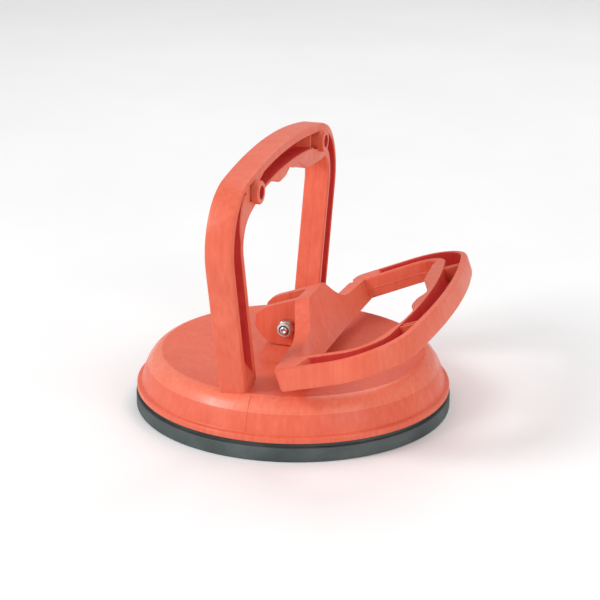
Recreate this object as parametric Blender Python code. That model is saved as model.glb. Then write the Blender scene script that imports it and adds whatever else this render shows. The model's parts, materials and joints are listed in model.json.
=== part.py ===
"""Single-cup vacuum lifter, 112 mm pad, with a fixed handle and a cam lever.

Frame: the origin is the centre of the rubber pad's underside and +Z points up.  +X is the way the
lever lies when it is released, and the hinge bolt runs along Y.  The model is made in the released
state, with the pad flat.  Lengths below are millimetres; MM turns them into metres.
"""
import math

import bmesh
import bpy
from mathutils import Vector

MM = 0.001
GAP = 0.3                      # clearance between neighbouring solids

# Rubber pad
PAD_R = 56.0
PAD_RIM_T = 4.9                # thickness at the edge
PAD_STEP = (54.3, 6.1)         # radius and height of the step that meets the housing
PAD_HUB_R = 42.0
PAD_HUB_T = 9.1                # thickness under the backing plate
LIP_R = 50.0                   # middle of the groove behind the sealing lip
LIP_GROOVE = (2.4, 1.0)        # width, depth

# Backing plate, and the stud that pulls it
PLATE_R = 40.0
PLATE_T = 2.0
THREAD_R = 3.0
STUD_NUT_AF = 10.0
STUD_NUT_T = 3.2
STUD_WASHER_R = 5.5
STUD_WASHER_T = 1.0
COLLAR_R = 6.3
COLLAR_T = 2.0
SHANK_R = 4.2
EYE_HALF = (5.0, 4.4)          # half width of the eye along X and Y

# Housing
FLANGE = (55.7, 6.4, 8.6)      # radius, bottom and top of the thin lip round the bottom
DOME_TOP = 19.7
DOME_WALL = [(53.9, 8.9), (53.3, 11.2), (52.6, 13.2), (51.7, 15.2), (49.7, 17.9), (48.3, 19.1),
             (46.8, DOME_TOP)]
DOME_INSIDE = [(44.6, 16.7), (49.4, 13.6), (50.6, 11.0)]
WALL = 3.0
PEDESTAL_HALF = (7.6, 8.6)     # half size along X and Y at the top
PEDESTAL_FOOT_Y = 16.5         # half size along Y at the dome
PEDESTAL_TOP = 22.9
SLOT_HALF = (6.2, 4.9)
STUD_POCKET = (7.1, 18.9)      # radius and roof height of the space over the collar

# Fixed handle, a loop in the YZ plane, and its copy on the lever
LOOP_BASE_HALF = 47.6          # half width where the legs meet the dome
LOOP_TOP = 95.2
CORNER_R = 21.0
CORNER_Y = 40.0
CORNER_Z = 70.7
LIMB = 11.6                    # limb width seen square to the loop
FOOT = 2.4                     # height of the first step at the foot of each leg
EAR_CHAMFER = 4.6
HANDLE_X = (-11.5, -2.0)
CHANNEL_DEPTH = 6.0
OUTER_RIM = 1.9
INNER_RIM = 2.0
GRIP_RIM = 4.2                 # inner rim where the fingers go
GRIP_WAVE = ((-46.0, 0.0), (-25.5, -2.5), (-20.5, -2.4), (-9.0, 0.7), (-6.0, 0.6),
             (1.5, -1.4), (8.0, -1.2), (22.5, 2.9), (28.0, 2.8), (39.0, 2.0), (46.0, 0.0))
WEDGE_Z = (21.2, 30.2)         # the channel's floor slopes up to the face at the foot
BOSS_Y = 37.5
BOSS_Z = 86.2
BOSS_R = 3.9
BOSS_BORE_R = 2.3
BOSS_TIP_X = 0.1

# Hinge and lever, in the lever's own directions: s along it, n square to it towards the handle
HINGE_Z = 30.0
REST_TILT = math.radians(19.9)
LEVER_RANGE = math.radians(71.0)
LIFT = 4.5                     # rise of the stud over the whole range
LEVER_RIM_N = -1.85
LEVER_T = 7.9
LEVER_SCALE = 0.976
LEVER_S_AT_ZERO = 36.05        # height on the fixed handle that matches s = 0
EAR_S = 8.2
CHEEK_Y = (5.0, 8.0)
CHEEK_TOP_N = 8.7
CAM_DROP = 6.8                 # hinge axis to the flat of the cam at rest

# Hinge fasteners, M3
BOLT_R = 1.5
SLEEVE_R = 2.6
NUT_AF = 5.5
NUT_T = 2.6
NUT_RING_R = 2.45
NUT_RING_T = 1.0
WASHER_R = 3.5
WASHER_T = 0.6
BOLT_HEAD_T = 2.0

FACETS = 48


def clear_scene():
    for item in list(bpy.data.objects):
        bpy.data.objects.remove(item, do_unlink=True)


def make_material(name, colour, roughness, metallic=0.0):
    """A plain Principled material."""
    material = bpy.data.materials.new(name)
    material.use_nodes = True
    shader = material.node_tree.nodes["Principled BSDF"]
    shader.inputs["Base Color"].default_value = (*colour, 1.0)
    shader.inputs["Roughness"].default_value = roughness
    shader.inputs["Metallic"].default_value = metallic
    material.diffuse_color = (*colour, 1.0)
    return material


def add_object(name, verts, faces, material=None, parent=None):
    """An object from points in millimetres, with its faces turned outwards."""
    mesh = bpy.data.meshes.new(name)
    work = bmesh.new()
    made = [work.verts.new(Vector(point) * MM) for point in verts]
    for face in faces:
        work.faces.new([made[index] for index in face])
    bmesh.ops.recalc_face_normals(work, faces=work.faces)
    work.to_mesh(mesh)
    work.free()
    item = bpy.data.objects.new(name, mesh)
    bpy.context.scene.collection.objects.link(item)
    if material is not None:
        mesh.materials.append(material)
    if parent is not None:
        item.parent = parent
    return item


def smooth(item, degrees=35.0):
    item.data.shade_smooth()
    item.data.set_sharp_from_angle(angle=math.radians(degrees))


def turn_profile(profile, facets=FACETS):
    """Points and faces of a closed (r, z) outline turned about Z."""
    verts, faces, rings = [], [], []
    for radius, height in profile:
        if radius == 0.0:
            rings.append([len(verts)] * facets)
            verts.append((0.0, 0.0, height))
            continue
        rings.append(list(range(len(verts), len(verts) + facets)))
        for step in range(facets):
            angle = math.tau * step / facets
            verts.append((radius * math.cos(angle), radius * math.sin(angle), height))
    for index, ring in enumerate(rings):
        other = rings[(index + 1) % len(rings)]
        if ring[0] == ring[1] and other[0] == other[1]:
            continue
        for step in range(facets):
            after = (step + 1) % facets
            corners = [ring[step], ring[after], other[after], other[step]]
            faces.append(tuple(dict.fromkeys(corners)))
    return verts, faces


def loft(rings):
    """Points and faces of a body whose sections are equal-length loops of points."""
    count = len(rings[0])
    verts = [point for ring in rings for point in ring]
    faces = [tuple(range(count)), tuple(range(len(verts) - count, len(verts)))]
    for index in range(len(rings) - 1):
        first, second = index * count, (index + 1) * count
        for step in range(count):
            after = (step + 1) % count
            faces.append((first + step, first + after, second + after, second + step))
    return verts, faces


def prism(outline, place, low, high):
    """A straight body: place(u, v, w) turns outline points and the two levels into points."""
    return loft([[place(u, v, level) for u, v in outline] for level in (low, high)])


def circle(radius, facets, start=0.0):
    return [(radius * math.cos(math.tau * k / facets + start),
             radius * math.sin(math.tau * k / facets + start)) for k in range(facets)]


def along_y(u, v, w):
    return (u, w, v)


def along_z(u, v, w):
    return (u, v, w)


def modify(item, operation, tool):
    """Join or cut item with a hidden helper object."""
    tool.hide_render = True
    tool.display_type = "WIRE"
    modifier = item.modifiers.new(tool.name, "BOOLEAN")
    modifier.operation = operation
    modifier.object = tool
    modifier.solver = "EXACT"


# ---------------------------------------------------------------- the loop shared by both handles

def leg_tangent():
    """Direction from the middle of the corner to the point where the straight leg leaves it."""
    dy, dz = LOOP_BASE_HALF - CORNER_Y, DOME_TOP - CORNER_Z
    reach = math.hypot(dy, dz)
    return math.atan2(dz, dy) + math.acos(CORNER_R / reach)


def crown_radius():
    """Radius of the flat arc over the top that runs on smoothly from both corners."""
    rise = LOOP_TOP - CORNER_Z
    return (CORNER_Y ** 2 + rise ** 2 - CORNER_R ** 2) / (2.0 * (rise - CORNER_R))


def finger_wave(y):
    """How much the finger bumps add to the crown's width, or its hollows take from it."""
    for (start, before), (end, after) in zip(GRIP_WAVE, GRIP_WAVE[1:]):
        if start <= y <= end:
            share = (y - start) / (end - start)
            return before + (after - before) * share * share * (3.0 - 2.0 * share)
    return 0.0


def loop_stations(leg_steps=4, corner_steps=6, crown_steps=28, base_z=DOME_TOP - 1.6,
                  chamfer=0.0):
    """Stations (outer point, inner point, crown) over the top from -Y to +Y."""
    half = []
    start = leg_tangent()
    normal = (math.cos(start), math.sin(start))
    joint = (CORNER_Y + CORNER_R * normal[0], CORNER_Z + CORNER_R * normal[1])
    slope = (joint[0] - LOOP_BASE_HALF) / (joint[1] - DOME_TOP)
    foot_z = base_z + FOOT
    heights = [foot_z + (joint[1] - foot_z) * step / leg_steps for step in range(leg_steps)]
    for z in [base_z] + heights:
        cut = chamfer if z == base_z else 0.0
        outer = (LOOP_BASE_HALF + slope * (z - DOME_TOP) - cut, z)
        half.append((outer, normal, 0.0))
    radius = crown_radius()
    centre = LOOP_TOP - radius
    end = math.atan2(CORNER_Z - centre, CORNER_Y)
    for step in range(corner_steps):
        angle = start + (end - start) * step / corner_steps
        normal = (math.cos(angle), math.sin(angle))
        outer = (CORNER_Y + CORNER_R * normal[0], CORNER_Z + CORNER_R * normal[1])
        half.append((outer, normal, step / corner_steps))
    for step in range(crown_steps // 2):
        angle = end + (math.pi / 2 - end) * step / (crown_steps // 2)
        normal = (math.cos(angle), math.sin(angle))
        half.append(((radius * normal[0], centre + radius * normal[1]), normal, 1.0))
    middle = [((0.0, LOOP_TOP), (0.0, 1.0), 1.0)]
    flip = [((-y, z), (-ny, nz), crown) for (y, z), (ny, nz), crown in half]
    stations = []
    for (y, z), (ny, nz), crown in flip + middle + half[::-1]:
        width = LIMB + crown * finger_wave(y - LIMB * ny)
        stations.append(((y, z), (y - width * ny, z - width * nz), crown))
    return stations


def limb_section(width, low, high, depth, inner_rim):
    """A channel section: distance from the outer edge, and level between the two faces."""
    floor = high - max(depth, 0.05)
    return [(0.0, low), (0.0, high), (OUTER_RIM, high), (OUTER_RIM, floor),
            (width - inner_rim, floor), (width - inner_rim, high), (width, high), (width, low)]


def sweep_limb(stations, low, high, depth_at, place):
    """Sweep the channel section along the loop; depth_at(station) gives the channel's depth."""
    rings = []
    for outer, inner, crown in stations:
        width = math.dist(outer, inner)
        rim = INNER_RIM + (GRIP_RIM - INNER_RIM) * crown
        ring = []
        for distance, level in limb_section(width, low, high, depth_at(outer), rim):
            share = distance / width
            ring.append(place(outer[0] + share * (inner[0] - outer[0]),
                              outer[1] + share * (inner[1] - outer[1]), level))
        rings.append(ring)
    return loft(rings)


# ---------------------------------------------------------------- pieces that stay with the housing

def add_rubber_pad(rubber):
    """Disc with a groove behind its lip, a raised middle and a pocket for the stud's nut."""
    width, depth = LIP_GROOVE
    pocket = 6.6
    profile = [(0.0, 0.0), (LIP_R - width / 2, 0.0), (LIP_R, depth), (LIP_R + width / 2, 0.0),
               (PAD_R - 0.5, 0.0), (PAD_R, 0.5), (PAD_R, PAD_RIM_T - 0.4),
               (PAD_R - 0.4, PAD_RIM_T), (PAD_STEP[0], PAD_RIM_T), PAD_STEP,
               (PAD_HUB_R + 3.0, PAD_STEP[1]), (PAD_HUB_R, PAD_HUB_T),
               (pocket, PAD_HUB_T), (pocket, 2.6), (0.0, 2.6)]
    pad = add_object("rubber_pad", *turn_profile(profile, 72), rubber)
    smooth(pad)


def dome_profile():
    radius, low, high = FLANGE
    return ([(radius - 4.4, low), (radius, low), (radius, high - 0.3), (radius - 0.4, high)]
            + DOME_WALL + [(0.0, DOME_TOP), (0.0, DOME_TOP - WALL)] + DOME_INSIDE)


def block(*levels):
    """A body on the Z axis through rectangles given as (half x, half y, z)."""
    return loft([[(-x, -y, z), (x, -y, z), (x, y, z), (-x, y, z)] for x, y, z in levels])


def handle_depth(outer):
    """Channel depth on the fixed handle, which runs out to nothing at the foot."""
    y, z = outer
    return CHANNEL_DEPTH * min(1.0, max(0.0, (z - WEDGE_Z[0]) / (WEDGE_Z[1] - WEDGE_Z[0])))


def in_handle(y, z, x):
    return (x, y, z)


def add_housing(plastic):
    """Dome, pedestal and fixed handle, moulded in one piece."""
    housing = add_object("housing", *turn_profile(dome_profile(), 72), plastic)
    half_x, half_y = PEDESTAL_HALF
    pedestal = add_object("pedestal_block", *block(
        (half_x + 0.4, PEDESTAL_FOOT_Y, DOME_TOP - 1.5), (half_x + 0.4, PEDESTAL_FOOT_Y, DOME_TOP),
        (half_x, half_y, PEDESTAL_TOP)))
    modify(housing, "UNION", pedestal)
    stations = loop_stations()
    loop = add_object("handle_loop", *sweep_limb(stations, *HANDLE_X, handle_depth, in_handle))
    modify(housing, "UNION", loop)
    for side in (-1, 1):
        def at_boss(u, v, x, side=side):
            return (x, side * BOSS_Y + u, BOSS_Z + v)
        floor = HANDLE_X[1] - CHANNEL_DEPTH - 0.8
        tube = add_object("boss_tube", *prism(circle(BOSS_R, 20), at_boss, floor, BOSS_TIP_X))
        modify(housing, "UNION", tube)
        bore = add_object("boss_bore", *prism(circle(BOSS_BORE_R, 16), at_boss,
                                              floor + 2.0, BOSS_TIP_X + 1.0))
        modify(housing, "DIFFERENCE", bore)
        def at_rib(u, v, x, side=side):
            return (x, side * (BOSS_Y - 7.9) + u, BOSS_Z + 3.2 + v)
        blade = [(-0.6, -3.6), (0.6, -3.6), (0.6, 3.6), (-0.6, 3.6)]
        rib = add_object("channel_rib", *prism(blade, at_rib, floor, HANDLE_X[1] - 0.2))
        modify(housing, "UNION", rib)
    pocket_r, pocket_z = STUD_POCKET
    pocket = add_object("collar_pocket", *prism(circle(pocket_r, 32), along_z, 5.0, pocket_z))
    modify(housing, "DIFFERENCE", pocket)
    slot = add_object("stud_slot", *block((*SLOT_HALF, 10.0), (*SLOT_HALF, PEDESTAL_TOP + 2.0)))
    modify(housing, "DIFFERENCE", slot)
    smooth(housing)


# ---------------------------------------------------------------- pieces that rise with the stud

def add_backing_plate(steel, lift):
    low = PAD_HUB_T + GAP
    profile = [(THREAD_R + GAP, low), (PLATE_R, low), (PLATE_R, low + PLATE_T),
               (THREAD_R + GAP, low + PLATE_T)]
    smooth(add_object("backing_plate", *turn_profile(profile, 64), steel, lift))


def add_pull_stud(steel, lift):
    """Threaded end, collar, round shank and an eye with a cross hole for the hinge sleeve."""
    collar = PAD_HUB_T + PLATE_T + 2 * GAP
    low = PAD_HUB_T - STUD_WASHER_T - STUD_NUT_T - 2 * GAP
    shoulder = collar + COLLAR_T
    profile = [(0.0, low), (THREAD_R, low), (THREAD_R, collar), (COLLAR_R, collar),
               (COLLAR_R, shoulder), (SHANK_R, shoulder), (SHANK_R, shoulder + 3.0),
               (0.0, shoulder + 3.0)]
    stud = add_object("pull_stud", *turn_profile(profile, 32), steel, lift)
    half_x, half_y = EYE_HALF
    arch = [(half_x * math.cos(a), HINGE_Z + half_x * math.sin(a))
            for a in (math.pi * k / 12 for k in range(13))]
    outline = [(half_x, shoulder + 1.0)] + arch + [(-half_x, shoulder + 1.0)]
    eye = add_object("stud_eye", *prism(outline, along_y, -half_y, half_y), parent=lift)
    modify(stud, "UNION", eye)
    def at_hinge(u, v, y):
        return (u, y, HINGE_Z + v)
    hole = add_object("eye_hole", *prism(circle(SLEEVE_R + GAP, 24), at_hinge, -9.0, 9.0),
                      parent=lift)
    modify(stud, "DIFFERENCE", hole)
    smooth(stud)


def hexagon(across_flats, start=0.0):
    return circle(across_flats / math.sqrt(3.0), 6, start)


def bored(name, outline, bore_r, place, low, high, material, parent):
    """A straight piece with a round hole through it."""
    item = add_object(name, *prism(outline, place, low, high), material, parent)
    cutter = add_object(name + "_bore", *prism(circle(bore_r, 24), place, low - 2.0, high + 2.0),
                        parent=parent)
    modify(item, "DIFFERENCE", cutter)
    return item


def add_stud_fixings(steel, lift):
    """Washer and thin nut under the plate, which the rubber covers."""
    washer_top = PAD_HUB_T
    washer_low = washer_top - STUD_WASHER_T
    nut_top = washer_low - GAP
    bored("stud_washer", circle(STUD_WASHER_R, 32), THREAD_R + GAP, along_z,
          washer_low, washer_top, steel, lift)
    bored("stud_nut", hexagon(STUD_NUT_AF), THREAD_R + GAP, along_z,
          nut_top - STUD_NUT_T, nut_top, steel, lift)


# ---------------------------------------------------------------- pieces that turn with the lever

def lever_point(s, n, y):
    """A point of the released lever, measured from the hinge axis."""
    return (s * math.cos(REST_TILT) - n * math.sin(REST_TILT), y,
            s * math.sin(REST_TILT) + n * math.cos(REST_TILT))


def in_lever(y, z, n):
    return lever_point(z - LEVER_S_AT_ZERO, n, y * LEVER_SCALE)


def lever_depth(outer):
    """Channel depth on the lever: solid ears, then the full channel."""
    s = outer[1] - LEVER_S_AT_ZERO
    return CHANNEL_DEPTH - 0.5 if s > 17.5 else 0.0


def cam_outline():
    """Side view of a cheek about the hinge axis, in world directions at rest.

    Below, the outline is the curve whose reach under the axis grows evenly as the lever turns, so
    the cheek stays on the pedestal while the stud rises by LIFT.
    """
    gain = LIFT / LEVER_RANGE
    lower = []
    for step in range(9):
        turn = LEVER_RANGE * step / 8
        reach = CAM_DROP + gain * turn
        lower.append((-(reach * math.sin(turn) + gain * math.cos(turn)),
                      -reach * math.cos(turn) + gain * math.sin(turn)))
    def side(s, n):
        x, _, z = lever_point(s, n, 0.0)
        return (x, z)
    upper = [side(-9.6, 7.4), side(-5.6, CHEEK_TOP_N), side(11.5, CHEEK_TOP_N),
             side(11.5, LEVER_RIM_N - LEVER_T + 2.0), (4.5, -CAM_DROP)]
    return lower + upper


def bridge_rings():
    """Sections of the cross wall between the arms, highest at the hub, from -Y to +Y."""
    low = LEVER_RIM_N - LEVER_T
    shape = [(43.0, 8.3, 14.6, LEVER_RIM_N), (25.0, 7.2, 13.0, LEVER_RIM_N),
             (21.5, 6.8, 12.6, -0.7), (18.0, 6.6, 12.3, 1.2), (14.5, 6.4, 12.0, 3.8),
             (10.6, 6.3, 11.8, 7.2), (8.0, 6.3, 11.8, CHEEK_TOP_N)]
    half = [[(y, near, low), (y, 14.0 + (far - 11.8) / 3.0, low), (y, far, top), (y, near, top)]
            for y, near, far, top in shape]
    rings = [[(-y, s, n) for y, s, n in ring] for ring in half] + half[::-1]
    return [[lever_point(s, n, y) for y, s, n in ring] for ring in rings]


def add_lever_handle(plastic, pivot):
    """Loop, cross wall and the two cheeks with their cams, moulded in one piece."""
    base = EAR_S + LEVER_S_AT_ZERO
    stations = loop_stations(base_z=base, chamfer=EAR_CHAMFER)
    low, high = LEVER_RIM_N - LEVER_T, LEVER_RIM_N
    lever = add_object("lever_handle", *sweep_limb(stations, low, high, lever_depth, in_lever),
                       plastic, pivot)
    bridge = add_object("cross_wall", *loft(bridge_rings()), parent=pivot)
    modify(lever, "UNION", bridge)
    for side in (-1, 1):
        near, far = side * CHEEK_Y[0], side * CHEEK_Y[1]
        cheek = add_object("cheek", *prism(cam_outline(), along_y, near, far), parent=pivot)
        modify(lever, "UNION", cheek)
    hole = add_object("cheek_hole", *prism(circle(BOLT_R + GAP, 20), along_y, -12.0, 12.0),
                      parent=pivot)
    modify(lever, "DIFFERENCE", hole)
    smooth(lever)


def add_hinge_fasteners(steel, nylon, pivot):
    """Bolt, washer, locking nut with its ring, and the sleeve in the stud's eye."""
    washer_in = CHEEK_Y[1] + GAP
    washer_out = washer_in + WASHER_T
    bored("hinge_washer", circle(WASHER_R, 28), BOLT_R + GAP, along_y,
          washer_in, washer_out, steel, pivot)
    nut_in = -washer_in
    nut_out = nut_in - NUT_T
    bored("hinge_nut", hexagon(NUT_AF), BOLT_R + GAP, along_y,
          nut_out, nut_in, steel, pivot)
    ring_in = nut_out - GAP
    bored("nut_lock_ring", circle(NUT_RING_R, 24), BOLT_R + GAP, along_y,
          ring_in - NUT_RING_T, ring_in, nylon, pivot)
    head_in = washer_out + GAP
    end = ring_in - NUT_RING_T - 0.5
    bolt = add_object("hinge_bolt", *prism(circle(BOLT_R, 20), along_y, end, head_in + 0.5),
                      steel, pivot)
    head = add_object("bolt_head", *prism(hexagon(NUT_AF), along_y, head_in,
                                          head_in + BOLT_HEAD_T), parent=pivot)
    modify(bolt, "UNION", head)
    bored("hinge_sleeve", circle(SLEEVE_R, 28), BOLT_R + GAP, along_y,
          -(CHEEK_Y[0] - GAP), CHEEK_Y[0] - GAP, steel, pivot)


def add_empty(name, location, parent=None):
    empty = bpy.data.objects.new(name, None)
    bpy.context.scene.collection.objects.link(empty)
    empty.location = Vector(location) * MM
    empty.parent = parent
    return empty


def build():
    clear_scene()
    plastic = make_material("orange_plastic", (0.85, 0.16, 0.08), 0.42)
    rubber = make_material("black_rubber", (0.03, 0.04, 0.04), 0.6)
    steel = make_material("zinc_plated_steel", (0.72, 0.73, 0.75), 0.25, 1.0)
    nylon = make_material("white_nylon", (0.8, 0.8, 0.78), 0.5)
    stud_lift = add_empty("stud_lift", (0.0, 0.0, 0.0))
    lever_pivot = add_empty("lever_pivot", (0.0, 0.0, HINGE_Z), stud_lift)
    add_rubber_pad(rubber)
    add_housing(plastic)
    add_backing_plate(steel, stud_lift)
    add_pull_stud(steel, stud_lift)
    add_stud_fixings(steel, stud_lift)
    add_lever_handle(plastic, lever_pivot)
    add_hinge_fasteners(steel, nylon, lever_pivot)


build()
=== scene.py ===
"""Finished look of the single-cup vacuum lifter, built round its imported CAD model."""
import json
import math

import bmesh
import bpy
from mathutils import Matrix, Vector


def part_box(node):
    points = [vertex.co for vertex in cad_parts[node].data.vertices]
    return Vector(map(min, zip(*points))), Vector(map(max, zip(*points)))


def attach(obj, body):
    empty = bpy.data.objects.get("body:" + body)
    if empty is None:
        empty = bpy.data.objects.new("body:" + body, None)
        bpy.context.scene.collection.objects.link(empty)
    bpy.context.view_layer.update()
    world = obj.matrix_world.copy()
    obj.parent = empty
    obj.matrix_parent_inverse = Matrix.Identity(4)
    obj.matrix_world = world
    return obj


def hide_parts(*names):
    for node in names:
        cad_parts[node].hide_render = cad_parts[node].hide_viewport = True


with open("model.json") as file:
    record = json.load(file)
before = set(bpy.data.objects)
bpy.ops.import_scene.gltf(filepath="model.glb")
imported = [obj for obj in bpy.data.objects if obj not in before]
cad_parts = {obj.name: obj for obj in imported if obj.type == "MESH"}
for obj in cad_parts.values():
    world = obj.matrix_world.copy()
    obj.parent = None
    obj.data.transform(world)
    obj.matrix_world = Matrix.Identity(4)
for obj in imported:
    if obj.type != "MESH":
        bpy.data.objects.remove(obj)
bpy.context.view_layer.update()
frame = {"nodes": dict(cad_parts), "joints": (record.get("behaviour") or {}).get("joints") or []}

MM = 0.001


def span(node):
    """Lowest and highest corners of a CAD node, in millimetres."""
    low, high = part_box(node)
    return [value / MM for value in low], [value / MM for value in high]


HOUSING_LOW, HOUSING_HIGH = span("housing")
PAD_HIGH = span("rubber_pad")[1]
PIVOT = next(joint for joint in frame["joints"] if joint["name"] == "lever_pivot")
HINGE = Vector(PIVOT["pos_m"]) / MM

# All sizes from here on are millimetres.
# Base
TURN_FACETS = 256
PAD_R = PAD_HIGH[0]
PAD_RIM_T = 4.9
LIP_GROOVE = (50.0, 1.1)            # radius of the groove's circle, and its depth
FLANGE_R = 55.7
FLANGE_LOW = HOUSING_LOW[2]
FLANGE_TOP = 8.6
DOME_TOP = 19.7
BAND_R = (46.75, 51.8)              # the band round the shoulder, glossier and with a painted reflection
BAND_LOW = 15.2
PEDESTAL_FOOT_Y = 17.4
PEDESTAL_HALF_X = 7.8
PEDESTAL_TOP = 22.9
SLOT_HALF = (6.2, 4.9)              # the stud's slot through the pedestal
STUD_POCKET = (7.1, 18.9)           # radius and top of the space round the stud
EDGE_ROUND = 0.42                   # rounding of the mouldings' edges
EDGE_BEND = 32.0                    # degrees from which an edge is rounded

# Loop of the fixed handle
LOOP_BASE_HALF = 47.6
LOOP_TOP = HOUSING_HIGH[2]
CORNER_R = 21.0
CORNER_Y = 40.0
CORNER_Z = 70.7
LIMB = 11.6
SEAM_SHARE = 0.44                   # place of the moulding seam in a limb's thickness
HANDLE_X = (-11.5, -2.0)
CHANNEL_DEPTH = 6.0
GRIP_WAVE = ((-46.0, 0.0), (-25.5, -2.5), (-20.5, -2.4), (-9.0, 0.7), (-6.0, 0.6),
             (1.5, -1.4), (8.0, -1.2), (22.5, 2.9), (28.0, 2.8), (39.0, 2.0), (46.0, 0.0))
WEDGE_Z = (21.2, 30.2)              # the channel's floor slopes up to the face at the foot
BOSS_Y = 37.5
BOSS_Z = 86.2
BOSS_R = 3.9
BOSS_BORE_R = 2.3
BOSS_TIP_X = 0.1
RECESSES = {                        # (y, z) outlines of the hollows round the two bosses
    -1: [(-43.4, 89.7), (-43.4, 84.6), (-42.9, 84.3), (-37.0, 83.5), (-33.2, 84.4),
         (-33.2, 88.6), (-37.5, 90.2)],
    1: [(29.2, 84.9), (29.2, 90.5), (36.0, 90.1), (42.0, 88.3), (46.2, 85.2), (44.2, 81.6),
        (36.0, 83.6)]}

# Lever, in its own directions: s along it, n square to it towards the handle
REST_TILT = math.radians(19.9)
LEVER_RIM_N = -1.85
LEVER_T = 7.9
LEVER_SCALE = 0.976
LEVER_S_AT_ZERO = 36.05             # height on the fixed handle that matches s = 0
LEVER_CHANNEL_DEPTH = 5.5
LEVER_CHANNEL_S = (17.5, 0.8)       # where the channel starts, and the length of its end
EAR_S = 8.2
EAR_CHAMFER = 4.6
RIB_S = 51.4                        # thin ribs across the channel, in pairs
RIB_Y = (-33.6, -31.4, 31.4, 33.6)
RIB_HALF = (0.45, 4.2)
CHEEK_Y = (5.0, 8.0)
CHEEK_TOP_N = 8.7
CAM_DROP = 6.8                      # hinge axis to the flat of the cam at rest
LEVER_RANGE = math.radians(71.0)
LIFT = 4.5                          # rise of the stud over the whole range

# Hinge fasteners, M3
HINGE_BORE_R = 1.8
BOLT_R = 1.5
BOLT_HEAD_T = 2.0
NUT_AF = 5.5
NUT_RING_R = 2.45

# Camera
CAMERA_PLACE = (165.03, -543.05, 231.59)
CAMERA_RIGHT = (0.95670, 0.29087, 0.01092)
CAMERA_UP = (-0.10407, 0.30676, 0.94608)
CAMERA_FOCUS = 1701.65 / 600.0      # focal length as a share of the sensor's width
SENSOR = 36.0

BODY, PAINTED_SHADE, EDGE_HIGHLIGHT, BAND_REFLECTION = SLOTS = range(4)  # material slots of the moulded pieces: own colour, painted shade, painted highlight, painted reflection


# ---------------------------------------------------------------- materials

class Nodes:
    """Short helper for building a node tree."""

    def __init__(self, name):
        self.material = bpy.data.materials.new(name)
        self.material.use_nodes = True
        self.tree = self.material.node_tree
        self.shader = self.tree.nodes["Principled BSDF"]
        self.place = self.tree.nodes.new("ShaderNodeTexCoord").outputs["Object"]

    def add(self, kind, inputs=(), **fields):
        """A node with its fields set and its inputs linked or given a value."""
        node = self.tree.nodes.new(kind)
        for field, value in fields.items():
            setattr(node, field, value)
        for key, value in dict(inputs).items():
            if isinstance(value, bpy.types.NodeSocket):
                self.tree.links.new(value, node.inputs[key])
            else:
                node.inputs[key].default_value = value
        return node

    def noise(self, scale, detail=3.0, rough=0.55, stretch=(1.0, 1.0, 1.0)):
        """Noise over the object, stretched along an axis where its scale is small."""
        mapping = self.add("ShaderNodeMapping", {"Vector": self.place, "Scale": stretch})
        inputs = {"Vector": mapping.outputs[0], "Scale": scale, "Detail": detail,
                  "Roughness": rough}
        return self.add("ShaderNodeTexNoise", inputs).outputs["Fac"]

    def ramp(self, value, stops):
        """Colour from a value, through (position, colour) stops."""
        node = self.add("ShaderNodeValToRGB", {"Fac": value})
        points = node.color_ramp.elements
        while len(points) < len(stops):
            points.new(0.5)
        for point, (where, colour) in zip(points, stops):
            point.position = where
            point.color = (*colour, 1.0)
        return node.outputs["Color"]

    def spread(self, value, low, high):
        """The middle of a noise's range spread from low to high."""
        return self.add("ShaderNodeMapRange", {"Value": value, "From Min": 0.3, "From Max": 0.7,
                                               "To Min": low, "To Max": high}).outputs[0]

    def link(self, value, key):
        self.tree.links.new(value, self.shader.inputs[key])

    def bump(self, layers):
        """layers: (height socket, strength, distance) from the finest to the coarsest."""
        normal = None
        for height, strength, distance in layers:
            inputs = {"Height": height, "Strength": strength, "Distance": distance}
            if normal is not None:
                inputs["Normal"] = normal
            normal = self.add("ShaderNodeBump", inputs).outputs[0]
        self.link(normal, "Normal")


def srgb(red, green, blue):
    """Linear colour from 0 to 255 values."""
    def linear(value):
        value /= 255.0
        return value / 12.92 if value <= 0.04045 else ((value + 0.055) / 1.055) ** 2.4
    return (linear(red), linear(green), linear(blue))


def plastic(name, dark, middle, light, roughness):
    """Moulded plastic: cloudy flow colour, fine grain, and faint drag lines along the height."""
    nodes = Nodes(name)
    cloud = nodes.noise(75.0, 4.0, 0.6)
    drag = nodes.noise(700.0, 2.0, 0.5, (1.0, 1.0, 0.06))
    mixed = nodes.add("ShaderNodeMath", {0: cloud, 1: drag}, operation="ADD").outputs[0]
    half = nodes.add("ShaderNodeMath", {0: mixed, 1: 0.5}, operation="MULTIPLY").outputs[0]
    nodes.link(nodes.ramp(half, [(0.3, dark), (0.5, middle), (0.7, light)]), "Base Color")
    nodes.link(nodes.spread(nodes.noise(180.0), roughness - 0.07, roughness + 0.09), "Roughness")
    nodes.shader.inputs["IOR"].default_value = 1.49
    nodes.shader.inputs["Specular IOR Level"].default_value = 0.38
    nodes.bump([(nodes.noise(2600.0, 2.0), 0.16, 0.0001), (drag, 0.14, 0.0003),
                (nodes.noise(120.0, 2.0), 0.06, 0.0006)])
    return nodes.material


def rubber_material():
    """Dull grey-green rubber with a fine grain."""
    nodes = Nodes("pad_rubber_look")
    cloud = nodes.noise(60.0, 5.0, 0.65)
    nodes.link(nodes.ramp(cloud, [(0.3, srgb(48, 57, 57)), (0.52, srgb(68, 78, 78)),
                                  (0.75, srgb(90, 100, 99))]), "Base Color")
    nodes.link(nodes.spread(nodes.noise(240.0), 0.52, 0.72), "Roughness")
    nodes.bump([(nodes.noise(3200.0, 2.0), 0.2, 0.0001), (nodes.noise(300.0), 0.15, 0.0004)])
    return nodes.material


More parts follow.
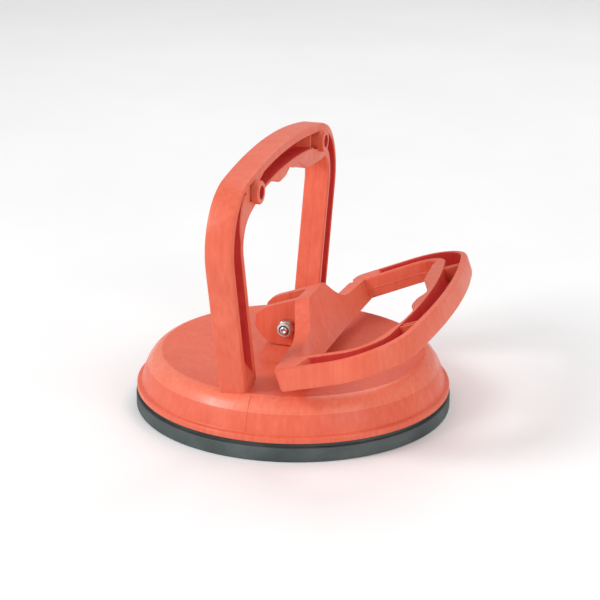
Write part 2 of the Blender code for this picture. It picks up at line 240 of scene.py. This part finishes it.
def metal(name, low, high, roughness):
    """Zinc-plated steel: patchy brightness and fine turning marks."""
    nodes = Nodes(name)
    nodes.link(nodes.ramp(nodes.noise(700.0, 4.0), [(0.35, low), (0.65, high)]), "Base Color")
    nodes.link(nodes.spread(nodes.noise(1500.0), roughness - 0.08, roughness + 0.12), "Roughness")
    nodes.shader.inputs["Metallic"].default_value = 1.0
    nodes.bump([(nodes.noise(2400.0, 2.0, 0.5, (1.0, 0.2, 1.0)), 0.12, 0.0001)])
    return nodes.material


def nylon_material():
    """Whitish nylon of the nut's locking ring."""
    nodes = Nodes("nylon_look")
    nodes.link(nodes.ramp(nodes.noise(500.0), [(0.3, srgb(196, 197, 190)),
                                               (0.7, srgb(226, 227, 222))]), "Base Color")
    nodes.link(nodes.spread(nodes.noise(900.0), 0.35, 0.5), "Roughness")
    nodes.bump([(nodes.noise(2000.0), 0.1, 0.0001)])
    return nodes.material


def floor_material():
    """Plain pale floor."""
    nodes = Nodes("floor_look")
    nodes.link(nodes.ramp(nodes.noise(6.0), [(0.3, (0.93, 0.93, 0.93)),
                                             (0.7, (0.97, 0.97, 0.97))]), "Base Color")
    nodes.link(nodes.spread(nodes.noise(40.0), 0.6, 0.75), "Roughness")
    return nodes.material


# ---------------------------------------------------------------- mesh helpers

def add_object(name, verts, faces, tags=None):
    """An object from points in millimetres; tags give each face's material slot."""
    mesh = bpy.data.meshes.new(name)
    work = bmesh.new()
    made = [work.verts.new(Vector(point) * MM) for point in verts]
    for number, face in enumerate(faces):
        new = work.faces.new([made[index] for index in face])
        new.material_index = tags[number] if tags else BODY
    bmesh.ops.recalc_face_normals(work, faces=work.faces)
    work.to_mesh(mesh)
    work.free()
    for _ in SLOTS:
        mesh.materials.append(None)
    item = bpy.data.objects.new(name, mesh)
    bpy.context.scene.collection.objects.link(item)
    return item


def turn_profile(profile, facets):
    """Points and faces of a closed (r, z) outline turned about Z."""
    verts, faces, rings = [], [], []
    for radius, height in profile:
        if radius == 0.0:
            rings.append([len(verts)] * facets)
            verts.append((0.0, 0.0, height))
            continue
        rings.append(list(range(len(verts), len(verts) + facets)))
        for step in range(facets):
            angle = math.tau * step / facets
            verts.append((radius * math.cos(angle), radius * math.sin(angle), height))
    for index, ring in enumerate(rings):
        other = rings[(index + 1) % len(rings)]
        if ring[0] == ring[1] and other[0] == other[1]:
            continue
        for step in range(facets):
            after = (step + 1) % facets
            corners = [ring[step], ring[after], other[after], other[step]]
            faces.append(tuple(dict.fromkeys(corners)))
    return verts, faces


def loft(rings, painted_shade_sides=()):
    """Points, faces and tags of a body whose sections are equal-length loops of points."""
    count = len(rings[0])
    verts = [point for ring in rings for point in ring]
    faces = [tuple(range(count)), tuple(range(len(verts) - count, len(verts)))]
    tags = [BODY, BODY]
    for index in range(len(rings) - 1):
        first, second = index * count, (index + 1) * count
        for step in range(count):
            after = (step + 1) % count
            faces.append((first + step, first + after, second + after, second + step))
            # the listed sides take the painted shade slot
            tags.append(PAINTED_SHADE if step in painted_shade_sides else BODY)
    return verts, faces, tags


def prism(outline, place, levels, painted_shade=False):
    """A straight body through (level, inset) steps; place(u, v, level) makes the points."""
    middle = Vector((sum(u for u, v in outline), sum(v for u, v in outline))) / len(outline)
    rings = []
    for level, inset in levels:
        ring = []
        for u, v in outline:
            away = Vector((u, v)) - middle
            u2, v2 = middle + away * (1.0 - inset / max(away.length, 1e-6))
            ring.append(place(u2, v2, level))
        rings.append(ring)
    verts, faces, tags = loft(rings)
    # a cutter's walls can take the painted shade slot
    return verts, faces, [PAINTED_SHADE if painted_shade else BODY] * len(tags)


def circle(radius, facets):
    """Points round a circle."""
    return [(radius * math.cos(math.tau * k / facets),
             radius * math.sin(math.tau * k / facets)) for k in range(facets)]


def rounded_rectangle(half_u, half_v, radius, steps=5):
    """Points round a rectangle with rounded corners."""
    points = []
    for turn, (su, sv) in enumerate(((1, 1), (-1, 1), (-1, -1), (1, -1))):
        for step in range(steps + 1):
            angle = math.pi / 2 * (turn + step / steps)
            points.append((su * (half_u - radius) + radius * math.cos(angle),
                           sv * (half_v - radius) + radius * math.sin(angle)))
    return points


def smooth_curve(points, per_span):
    """Catmull-Rom points through a list of tuples."""
    ends = [points[0]] + list(points) + [points[-1]]
    made = []
    for index in range(len(points) - 1):
        p0, p1, p2, p3 = ends[index:index + 4]
        for step in range(per_span):
            t = step / per_span
            made.append(tuple(
                0.5 * (2 * b + (c - a) * t + (2 * a - 5 * b + 4 * c - d) * t * t
                       + (3 * b - a - 3 * c + d) * t ** 3)
                for a, b, c, d in zip(p0, p1, p2, p3)))
    return made + [tuple(points[-1])]


def modify(item, operation, tool):
    """Join or cut item with another object, which is then removed."""
    modifier = item.modifiers.new("join", "BOOLEAN")
    modifier.operation = operation
    modifier.object = tool
    modifier.solver = "EXACT"
    bake(item)
    bpy.data.objects.remove(tool, do_unlink=True)


def bake(item):
    """Replace the mesh by what the modifiers make of it."""
    graph = bpy.context.evaluated_depsgraph_get()
    mesh = bpy.data.meshes.new_from_object(item.evaluated_get(graph))
    item.modifiers.clear()
    item.data = mesh


def soften(item, width, segments=2, degrees=28.0, highlight_slot=None):
    """Round the edges that bend more than the angle, inward ones less, and shade smoothly."""
    work = bmesh.new()
    work.from_mesh(item.data)
    bmesh.ops.remove_doubles(work, verts=work.verts, dist=0.00002)
    bmesh.ops.dissolve_degenerate(work, edges=work.edges, dist=0.00001)
    layer = work.edges.layers.float.new("bevel_weight_edge")
    for edge in work.edges:
        if len(edge.link_faces) == 2:
            bend = edge.calc_face_angle_signed(0.0)
            if bend > math.radians(degrees):
                edge[layer] = 1.0
            elif bend < -math.radians(degrees):
                edge[layer] = 0.45
    work.to_mesh(item.data)
    work.free()
    bevel = item.modifiers.new("round", "BEVEL")
    bevel.limit_method = "WEIGHT"
    bevel.width = width * MM
    bevel.segments = segments
    bevel.use_clamp_overlap = True
    # the rounding's new faces can take a lighter slot, a painted highlight along the edges
    bevel.material = -1 if highlight_slot is None else highlight_slot
    bake(item)
    item.data.shade_smooth()
    item.data.set_sharp_from_angle(angle=math.radians(42.0))
    normals = item.modifiers.new("even", "WEIGHTED_NORMAL")
    normals.keep_sharp = True
    normals.weight = 60
    bake(item)


def dress(item, *materials):
    """Put the materials in the mesh's slots, keeping which face uses which."""
    slots = item.data.materials
    while len(slots) > len(materials):
        slots.pop()
    for index, material in enumerate(materials):
        if index < len(slots):
            slots[index] = material
        else:
            slots.append(material)


def finish_piece(item, body, node, slot, *materials):
    """Give the piece its looks and put it in place of its CAD node."""
    dress(item, *materials)
    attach(item, body)
    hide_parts(node)


# ---------------------------------------------------------------- the loop shared by both handles

def leg_tangent():
    """Direction from the middle of the corner to the point where the straight leg leaves it."""
    dy, dz = LOOP_BASE_HALF - CORNER_Y, DOME_TOP - CORNER_Z
    return math.atan2(dz, dy) + math.acos(CORNER_R / math.hypot(dy, dz))


def crown_radius():
    """Radius of the crown's arc, which runs on from the two corners."""
    rise = LOOP_TOP - CORNER_Z
    return (CORNER_Y ** 2 + rise ** 2 - CORNER_R ** 2) / (2.0 * (rise - CORNER_R))


def finger_wave(y):
    """How much the finger bumps add to the crown's width, or its hollows take from it."""
    for (start, before), (end, after) in zip(GRIP_WAVE, GRIP_WAVE[1:]):
        if start <= y <= end:
            share = (y - start) / (end - start)
            return before + (after - before) * share * share * (3.0 - 2.0 * share)
    return 0.0


def ease(value):
    """Smooth step from 0 to 1."""
    value = min(1.0, max(0.0, value))
    return value * value * (3.0 - 2.0 * value)


def loop_stations(base_z, chamfer=0.0, foot=2.4, leg_steps=26, corner_steps=26, crown_steps=120):
    """Stations (outer point, inward direction, width, crown share) from -Y to +Y."""
    half = []
    start = leg_tangent()
    normal = (math.cos(start), math.sin(start))
    joint = (CORNER_Y + CORNER_R * normal[0], CORNER_Z + CORNER_R * normal[1])
    slope = (joint[0] - LOOP_BASE_HALF) / (joint[1] - DOME_TOP)
    foot_steps = 4 if chamfer else 1
    heights = [base_z + foot * k / foot_steps for k in range(foot_steps)]
    heights += [base_z + foot + (joint[1] - base_z - foot) * k / leg_steps
                for k in range(leg_steps)]
    for z in heights:
        share = max(0.0, 1.0 - (z - base_z) / foot)
        cut = chamfer * (1.0 - math.sqrt(max(0.0, 1.0 - share * share)))
        half.append(((LOOP_BASE_HALF + slope * (z - DOME_TOP) - cut, z), normal, 0.0))
    radius = crown_radius()
    centre = LOOP_TOP - radius
    end = math.atan2(CORNER_Z - centre, CORNER_Y)
    for step in range(corner_steps):
        angle = start + (end - start) * step / corner_steps
        normal = (math.cos(angle), math.sin(angle))
        outer = (CORNER_Y + CORNER_R * normal[0], CORNER_Z + CORNER_R * normal[1])
        half.append((outer, normal, ease(step / corner_steps)))
    for step in range(crown_steps // 2):
        angle = end + (math.pi / 2 - end) * step / (crown_steps // 2)
        normal = (math.cos(angle), math.sin(angle))
        half.append(((radius * normal[0], centre + radius * normal[1]), normal, 1.0))
    middle = [((0.0, LOOP_TOP), (0.0, 1.0), 1.0)]
    flip = [((-y, z), (-ny, nz), crown) for (y, z), (ny, nz), crown in half]
    stations = []
    for (y, z), (ny, nz), crown in flip + middle + half[::-1]:
        width = LIMB + crown * finger_wave(y - LIMB * ny)
        stations.append(((y, z), (-ny, -nz), width, crown))
    return stations


def section(width, low, high, depth, near_rim, channel_end):
    """Closed section of (distance from the outer edge, level) points.

    It has a moulding seam half way up both sides and a channel in its face.
    """
    middle = low + SEAM_SHARE * (high - low)
    floor = high - max(depth, 0.04)
    lead = min(0.35, depth * 0.4)
    left, right = near_rim, max(channel_end, near_rim + 1.0)
    return [(0.9, low), (0.25, low + 0.35), (0.0, low + 1.2), (0.0, middle - 0.22),
            (0.0, middle), (0.0, middle + 0.22), (0.0, high - 1.3),
            (0.35, high - 0.45), (left - 0.25, high), (left + 0.1, high - lead),
            (left + 0.3, floor), (right - 0.3, floor), (right - 0.1, high - lead),
            (right + 0.25, high), (width - 0.5, high), (width, high - 0.5),
            (width, middle + 0.3), (width + 0.2, middle), (width, middle - 0.3),
            (width, low + 0.5), (width - 0.5, low)]


PAINTED_SHADE_SIDES = (9, 10, 11)            # sides of the section that are the channel's walls and floor, which take the painted shade


def sweep_limb(stations, low, high, channel, place):
    """Sweep the section; channel() gives its channel's depth, outer rim and inner edge."""
    rings, depths = [], []
    for (y, z), (ty, tz), width, crown in stations:
        depth, near_rim, channel_end = channel(y, z, width, crown)
        rings.append([place(y + distance * ty, z + distance * tz, level)
                      for distance, level in section(width, low, high, depth, near_rim,
                                                     channel_end)])
        depths.append(depth)
    verts, faces, tags = loft(rings, PAINTED_SHADE_SIDES)
    count = len(rings[0])
    for index in range(len(rings) - 1):
        start = 2 + index * count
        # shallow stretches of the channel get no painted shade
        if max(depths[index], depths[index + 1]) < 1.0:
            tags[start:start + count] = [BODY] * count
        elif min(depths[index], depths[index + 1]) < max(depths) - 0.1:
            tags[start + PAINTED_SHADE_SIDES[1]] = BODY             # a sloping end of the channel: its floor gets no painted shade
    return verts, faces, tags


# ---------------------------------------------------------------- pad and housing

def arc(cx, cz, radius, start, end, steps):
    """Points along an arc, from one angle to another in degrees."""
    return [(cx + radius * math.cos(math.radians(start + (end - start) * k / steps)),
             cz + radius * math.sin(math.radians(start + (end - start) * k / steps)))
            for k in range(steps + 1)]


def make_pad():
    """The rubber pad, with the groove in its sealing face."""
    r = PAD_R
    groove = arc(LIP_GROOVE[0], 0.0, LIP_GROOVE[1], 180.0, 0.0, 6)
    profile = ([(0.0, 0.0)] + groove + arc(r - 0.5, 0.5, 0.5, -90.0, 0.0, 3)
               + [(r, 2.3), (r, 2.5), (r, 2.7)]
               + arc(r - 0.4, PAD_RIM_T - 0.4, 0.4, 0.0, 90.0, 3)
               + [(54.4, PAD_RIM_T), (54.3, 6.0), (54.2, 6.1), (45.0, 6.1), (42.4, 8.9),
                  (42.0, 9.1), (6.6, 9.1), (6.6, 2.6), (0.0, 2.6)])
    pad = add_object("pad_surface", *turn_profile(profile, TURN_FACETS))
    pad.data.shade_smooth()
    pad.data.set_sharp_from_angle(angle=math.radians(40.0))
    return pad


def dome_points():
    """Outside of the dome from the flange's underside to its flat top: lip, wall, shoulder."""
    low, radius = FLANGE_LOW, FLANGE_R
    lip = (arc(radius - 0.35, low + 0.35, 0.35, -90.0, 0.0, 3)
           + arc(radius - 0.7, FLANGE_TOP - 0.7, 0.7, 0.0, 80.0, 5))
    wall = smooth_curve([(54.25, 8.75), (53.95, 9.1), (53.6, 10.4), (53.1, 12.1), (52.45, 13.8),
                         (51.85, 15.15)], 4)
    band = smooth_curve([(51.7, 15.4), (50.6, 17.0), (49.5, 18.2), (48.3, 19.1),
                         (47.1, 19.6), (46.4, DOME_TOP - 0.02), (45.8, DOME_TOP)], 4)
    return [(radius - 4.3, low)] + lip + wall + band


def make_dome():
    """The round shell, closed by its hollow underside."""
    inside = [(0.0, DOME_TOP), (0.0, DOME_TOP - 3.0), (44.6, 16.7), (49.4, 13.6), (50.6, 11.0)]
    return add_object("housing_surface", *turn_profile(dome_points() + inside, TURN_FACETS))


def handle_channel(y, z, width, crown):
    """Depth, outer rim and inner edge of the handle's channel at an outer point."""
    foot = (z - WEDGE_Z[0]) / (WEDGE_Z[1] - WEDGE_Z[0])
    depth = CHANNEL_DEPTH * min(1.0, max(0.0, foot))
    near_rim = 2.2 + 0.7 * crown
    end = (1.0 - crown) * (LIMB - 2.0) + crown * (LIMB - 3.6)
    if y < 0.0 and z > 74.0:
        if y < -44.0:                      # runs out to a point below the near boss
            taper = (z - 74.0) / 15.9
            near_rim = 2.2 - 0.6 * taper
            end = 9.6 - 7.5 * taper ** 1.15
            if z > 89.9:
                depth = 0.0
        elif y < -35.2:
            depth = 0.0
        elif y < -29.0:                    # and starts from a point on the other side of it
            near_rim += 1.5 * (1.0 - (y + 35.2) / 6.2)
            end -= 0.9 * (1.0 - (y + 35.2) / 6.2)
    if 27.3 < y < 28.9:                    # the rib beside the far boss
        depth = 0.8
    return depth, near_rim, end


def in_handle(y, z, x):
    return (x, y, z)


def in_plan(u, v, z):
    return (u, v, z)


def make_handle_loop():
    """The fixed handle: the swept loop with its two square recesses and hollow bosses."""
    stations = loop_stations(DOME_TOP - 1.6)
    loop = add_object("loop", *sweep_limb(stations, *HANDLE_X, handle_channel, in_handle))
    floor = HANDLE_X[1] - CHANNEL_DEPTH
    for side in (-1, 1):
        def at_boss(u, v, x, side=side):
            return (x, side * BOSS_Y + u, BOSS_Z + v)

        # the recesses and bores are lined with painted shade
        recess = add_object("recess", *prism(RECESSES[side], in_handle,
                                             [(floor - 0.05, 0.0), (HANDLE_X[1] + 1.0, 0.0)],
                                             True))
        modify(loop, "DIFFERENCE", recess)
        tube = add_object("tube", *prism(circle(BOSS_R, 48), at_boss,
                                         [(floor - 0.8, 0.0), (BOSS_TIP_X - 0.35, 0.0),
                                          (BOSS_TIP_X, 0.35)]))
        modify(loop, "UNION", tube)
        bore = add_object("bore", *prism(circle(BOSS_BORE_R, 40), at_boss,
                                         [(floor + 1.5, 0.0), (BOSS_TIP_X + 0.5, 0.0)], True))
        modify(loop, "DIFFERENCE", bore)
    return loop


def mark_reflection_band(housing):
    """The band round the dome's shoulder gets its own material slot: glossier plastic painted
    lighter, a painted reflection.
    """
    for face in housing.data.polygons:
        x, y, z = face.center / MM
        radius = math.hypot(x, y)
        outward = (x * face.normal.x + y * face.normal.y) / max(radius, 1.0)
        if (BAND_R[0] < radius < BAND_R[1] and BAND_LOW < z < DOME_TOP - 0.01
                and face.normal.z > 0.35 and outward > 0.05):
            face.material_index = BAND_REFLECTION


def make_housing():
    """Dome, pedestal and fixed handle as the one moulding they are."""
    housing = make_dome()
    pocket = add_object("pocket", *prism(circle(STUD_POCKET[0], 64), in_plan,
                                         [(4.0, 0.0), (STUD_POCKET[1], 0.0)]))
    modify(housing, "DIFFERENCE", pocket)
    ramp = smooth_curve([(-PEDESTAL_FOOT_Y, DOME_TOP - 0.02), (-15.6, DOME_TOP + 0.25),
                         (-11.6, 21.6), (-9.0, PEDESTAL_TOP - 0.12), (-8.0, PEDESTAL_TOP)], 4)
    side_view = (ramp + [(-y, z) for y, z in ramp[::-1]]
                 + [(PEDESTAL_FOOT_Y, 18.95), (-PEDESTAL_FOOT_Y, 18.95)])
    pedestal = add_object("pedestal", *loft([[(x, y, z) for y, z in side_view]
                                             for x in (-PEDESTAL_HALF_X, PEDESTAL_HALF_X)]))
    modify(housing, "UNION", pedestal)
    # the stud's slot is lined with painted shade
    slot = add_object("slot", *prism(rounded_rectangle(*SLOT_HALF, 0.8), in_plan,
                                     [(10.0, 0.0), (26.0, 0.0)], True))
    modify(housing, "DIFFERENCE", slot)
    modify(housing, "UNION", make_handle_loop())
    # the rounded edges get the slot of painted highlight
    soften(housing, EDGE_ROUND, 2, EDGE_BEND, EDGE_HIGHLIGHT)
    mark_reflection_band(housing)
    return housing


def make_seams():
    """Raised moulding seams down the dome wall, one on each side."""
    rows = [point for point in dome_points() if point[1] > 9.0 and point[0] > 47.5]
    parts = []
    for side, name in ((-1, "housing_seam_near"), (1, "housing_seam_far")):
        rings = []
        for radius, z in rows:
            root, crest = side * (radius - 0.5), side * (radius + 0.14)
            rings.append([(-0.22, root, z), (-0.1, crest, z + 0.02), (0.1, crest, z + 0.02),
                          (0.22, root, z)])
        parts.append(add_object(name, *loft(rings)))
    return parts


# ---------------------------------------------------------------- lever

def lever_point(s, n, y):
    """A point of the released lever from (s, n) about the hinge and y."""
    return (HINGE.x + s * math.cos(REST_TILT) - n * math.sin(REST_TILT), y,
            HINGE.z + s * math.sin(REST_TILT) + n * math.cos(REST_TILT))


def in_lever(y, z, n):
    return lever_point(z - LEVER_S_AT_ZERO, n, y * LEVER_SCALE)


def lever_channel(y, z, width, crown):
    """Depth, outer rim and inner edge of the lever's channel at an outer point."""
    start, length = LEVER_CHANNEL_S
    share = (z - LEVER_S_AT_ZERO - start) / length
    depth = LEVER_CHANNEL_DEPTH * min(1.0, max(0.0, share))
    return depth, 1.9 + 0.3 * crown, (1.0 - crown) * (LIMB - 2.0) + crown * (LIMB - 3.2)


def cam_outline(steps=28):
    """Side view of a cheek about the hinge axis, in world directions at rest."""
    gain = LIFT / LEVER_RANGE
    lower = []
    for step in range(steps + 1):
        turn = LEVER_RANGE * step / steps
        reach = CAM_DROP + gain * turn
        lower.append((-(reach * math.sin(turn) + gain * math.cos(turn)),
                      -reach * math.cos(turn) + gain * math.sin(turn)))

    def side(s, n):
        x, _, z = lever_point(s, n, 0.0)
        return (x - HINGE.x, z - HINGE.z)
    corner = smooth_curve([(-10.1, 6.2), (-9.5, 7.3), (-7.7, 8.2), (-5.6, CHEEK_TOP_N - 0.05),
                           (-3.6, CHEEK_TOP_N)], 4)
    return (lower + [side(s, n) for s, n in corner]
            + [side(11.0, CHEEK_TOP_N), side(11.0, LEVER_RIM_N - LEVER_T + 2.0),
               (4.5, -CAM_DROP)])


def bridge_rings(side):
    """Sections of the cross wall on one side, from the arm in to the hub."""
    low = LEVER_RIM_N - LEVER_T + 0.02
    rows = [(43.0, 8.3, 14.6, LEVER_RIM_N - 0.02), (34.0, 7.7, 13.6, LEVER_RIM_N - 0.02),
            (26.5, 7.2, 13.0, LEVER_RIM_N + 0.12), (21.5, 6.8, 12.6, -0.7),
            (18.0, 6.6, 12.3, 1.2), (14.5, 6.4, 12.0, 3.8), (10.9, 6.3, 11.8, 7.0),
            (9.1, 6.3, 11.8, 8.3), (7.6, 6.3, 11.8, CHEEK_TOP_N - 0.02),
            (0.0, 6.3, 11.8, CHEEK_TOP_N - 0.02)]
    rings = []
    for y, near, far, top in smooth_curve(rows, 5):
        foot = 14.0 + (far - 11.8) / 3.0
        curve = [(far + (foot - far) * k / 6.0 - 0.9 * math.sin(math.pi * k / 6.0) * (y / 43.0),
                  top + (low - top) * k / 6.0) for k in range(7)]
        rings.append([lever_point(s, n, side * y)
                      for s, n in [(near, top), (near, low)] + curve[::-1]])
    return rings


def make_lever():
    """Swept loop, cross wall and two cam cheeks, with the hinge's bore."""
    stations = loop_stations(EAR_S + LEVER_S_AT_ZERO, EAR_CHAMFER)
    low, high = LEVER_RIM_N - LEVER_T, LEVER_RIM_N
    lever = add_object("lever_surface", *sweep_limb(stations, low, high, lever_channel, in_lever))
    for side in (-1, 1):
        modify(lever, "UNION", add_object("bridge", *loft(bridge_rings(side))))
    for side in (-1, 1):
        levels = sorted(side * y for y in CHEEK_Y)
        cheek = add_object("cheek", *prism(cam_outline(), along_hinge,
                                           [(level, 0.0) for level in levels]))
        modify(lever, "UNION", cheek)
    hole = add_object("hole", *prism(circle(HINGE_BORE_R, 40), along_hinge,
                                     [(-12.0, 0.0), (12.0, 0.0)]))
    modify(lever, "DIFFERENCE", hole)
    for y in RIB_Y:
        def at_rib(u, v, n, y=y):
            return lever_point(RIB_S + v, n, y + u)
        rib = add_object("rib", *prism(rounded_rectangle(*RIB_HALF, 0.2, 2), at_rib,
                                       [(high - 5.6, 0.0), (high - 0.7, 0.0)]))
        modify(lever, "UNION", rib)
    # the rounded edges get the slot of painted highlight
    soften(lever, EDGE_ROUND, 2, EDGE_BEND, EDGE_HIGHLIGHT)
    return lever


# ---------------------------------------------------------------- hinge fasteners

def along_hinge(u, v, y):
    """A point by its place about the hinge axis and its place along it."""
    return (HINGE.x + u, y, HINGE.z + v)


def hexagon(across_flats, rounds=6):
    """Hexagon with slightly rounded corners."""
    points = []
    corner = across_flats / math.sqrt(3.0)
    for k in range(6):
        for step in range(rounds + 1):
            angle = math.tau * k / 6.0 + math.radians(-7.0 + 14.0 * step / rounds)
            points.append((corner * 0.985 * math.cos(angle), corner * 0.985 * math.sin(angle)))
    return points


def bored_piece(name, outline, levels):
    """A piece on the hinge axis with the bolt's hole through it."""
    item = add_object(name, *prism(outline, along_hinge, levels))
    ends = (levels[0][0] - 1.0, levels[-1][0] + 1.0)
    modify(item, "DIFFERENCE", add_object("cut", *prism(circle(HINGE_BORE_R, 40), along_hinge,
                                                        [(y, 0.0) for y in ends])))
    soften(item, 0.12, 2, 30.0)
    return item


def make_nut():
    """The nut, with its outer corners cut back."""
    low, high = (value[1] for value in span("hinge_nut"))
    return bored_piece("nut_surface", hexagon(NUT_AF),
                       [(low, 0.55), (low + 0.35, 0.12), (low + 0.6, 0.0), (high - 0.3, 0.0),
                        (high, 0.3)])


def make_nut_ring():
    """The nut's round locking ring."""
    low, high = (value[1] for value in span("nut_lock_ring"))
    return bored_piece("nut_ring_surface", circle(NUT_RING_R, 48),
                       [(low, 0.45), (low + 0.2, 0.12), (low + 0.5, 0.0), (high, 0.0)])


def make_bolt():
    """The hinge bolt: a shank with a turned end and a hexagon head."""
    low, high = (value[1] for value in span("hinge_bolt"))
    head = high - BOLT_HEAD_T
    item = add_object("bolt_surface", *prism(circle(BOLT_R, 48), along_hinge,
                                             [(low, 0.4), (low + 0.35, 0.0), (head + 0.4, 0.0)]))
    modify(item, "UNION", add_object("head", *prism(
        hexagon(NUT_AF), along_hinge, [(head, 0.1), (head + 0.15, 0.0), (high - 0.35, 0.0),
                                       (high, 0.45)])))
    modify(item, "DIFFERENCE", add_object("dimple", *prism(
        circle(0.8, 32), along_hinge, [(low - 0.5, 0.0), (low + 0.05, 0.0), (low + 0.5, 0.55)])))
    soften(item, 0.08, 2, 30.0)
    return item


# ---------------------------------------------------------------- camera, light and floor

def make_camera():
    """The camera looks from the nut's side, a little towards the lever and from above."""
    data = bpy.data.cameras.new("camera")
    data.sensor_width = SENSOR
    data.lens = CAMERA_FOCUS * SENSOR
    data.clip_start, data.clip_end = 0.01, 20.0
    camera = bpy.data.objects.new("camera", data)
    bpy.context.scene.collection.objects.link(camera)
    right = Vector(CAMERA_RIGHT).normalized()
    back = right.cross(Vector(CAMERA_UP)).normalized()
    up = back.cross(right)
    place = Vector(CAMERA_PLACE) * MM
    camera.matrix_world = Matrix((
        (right.x, up.x, back.x, place.x), (right.y, up.y, back.y, place.y),
        (right.z, up.z, back.z, place.z), (0.0, 0.0, 0.0, 1.0)))
    bpy.context.scene.camera = camera


def make_light(name, place, target, size, power):
    """A large soft white light, turned to the target."""
    data = bpy.data.lights.new(name, "AREA")
    data.shape = "DISK"
    data.size = size
    data.energy = power
    light = bpy.data.objects.new(name, data)
    bpy.context.scene.collection.objects.link(light)
    light.location = place
    light.rotation_euler = (Vector(target) - Vector(place)).to_track_quat("-Z", "Y").to_euler()


def make_stage():
    """Pale floor just under the pad, white surroundings and three soft lights, in metres."""
    half = 3.0
    floor = add_object("floor", [(x / MM, y / MM, -0.05) for x, y in
                                 ((-half, -half), (half, -half), (half, half), (-half, half))],
                       [(0, 1, 2, 3)])
    dress(floor, floor_material())
    world = bpy.data.worlds.new("world")
    bpy.context.scene.world = world
    world.use_nodes = True
    background = world.node_tree.nodes["Background"]
    background.inputs[0].default_value = (1.0, 1.0, 1.0, 1.0)
    background.inputs[1].default_value = 0.55
    centre = (0.0, 0.0, 0.04)
    make_light("key", (-0.8, -0.65, 0.75), centre, 0.5, 7.8)
    make_light("fill", (0.85, -0.55, 0.5), centre, 0.6, 3.2)
    make_light("back", (0.1, 0.7, 0.9), centre, 0.8, 3.0)
    bpy.context.scene.view_settings.view_transform = "Standard"


# ---------------------------------------------------------------- the whole model

def main():
    """Build each piece, put it on its body, and set the stage."""
    body = plastic("orange_plastic_look", srgb(220, 94, 68), srgb(227, 104, 76),
                   srgb(233, 115, 87), 0.42)
    # painted shade: darker, redder plastic for channel walls and floors, recesses, bores and the
    # stud's slot
    painted_shade = plastic("orange_plastic_painted_shade", srgb(198, 50, 46), srgb(208, 60, 54),
                   srgb(216, 72, 62), 0.55)
    # painted highlight: lighter plastic on the rounded edges
    edge = plastic("orange_plastic_edge_highlight", srgb(240, 140, 114), srgb(246, 154, 128),
                   srgb(250, 168, 142), 0.36)
    # painted reflection: the shoulder band's plastic is lighter as well as glossier
    band = plastic("orange_plastic_band_reflection", srgb(230, 112, 84), srgb(236, 122, 94),
                   srgb(241, 133, 106), 0.3)
    steel = metal("steel_look", (0.52, 0.54, 0.56), (0.8, 0.81, 0.83), 0.28)
    nylon = nylon_material()

    finish_piece(make_pad(), "base", "rubber_pad", "pad_rubber", rubber_material())
    finish_piece(make_housing(), "base", "housing", "handle_plastic", body, painted_shade, edge, band)
    for seam in make_seams():
        dress(seam, body)
        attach(seam, "base")
    finish_piece(make_lever(), "lever", "lever_handle", "handle_plastic", body, painted_shade, edge)
    finish_piece(make_nut(), "lever", "hinge_nut", "plated_steel", steel)
    finish_piece(make_nut_ring(), "lever", "nut_lock_ring", "nylon_insert", nylon)
    finish_piece(make_bolt(), "lever", "hinge_bolt", "plated_steel", steel)
    for node in ("pull_stud", "backing_plate", "stud_nut", "stud_washer", "hinge_sleeve",
                 "hinge_washer"):
        dress(frame["nodes"][node], steel)
    make_stage()
    make_camera()


main()
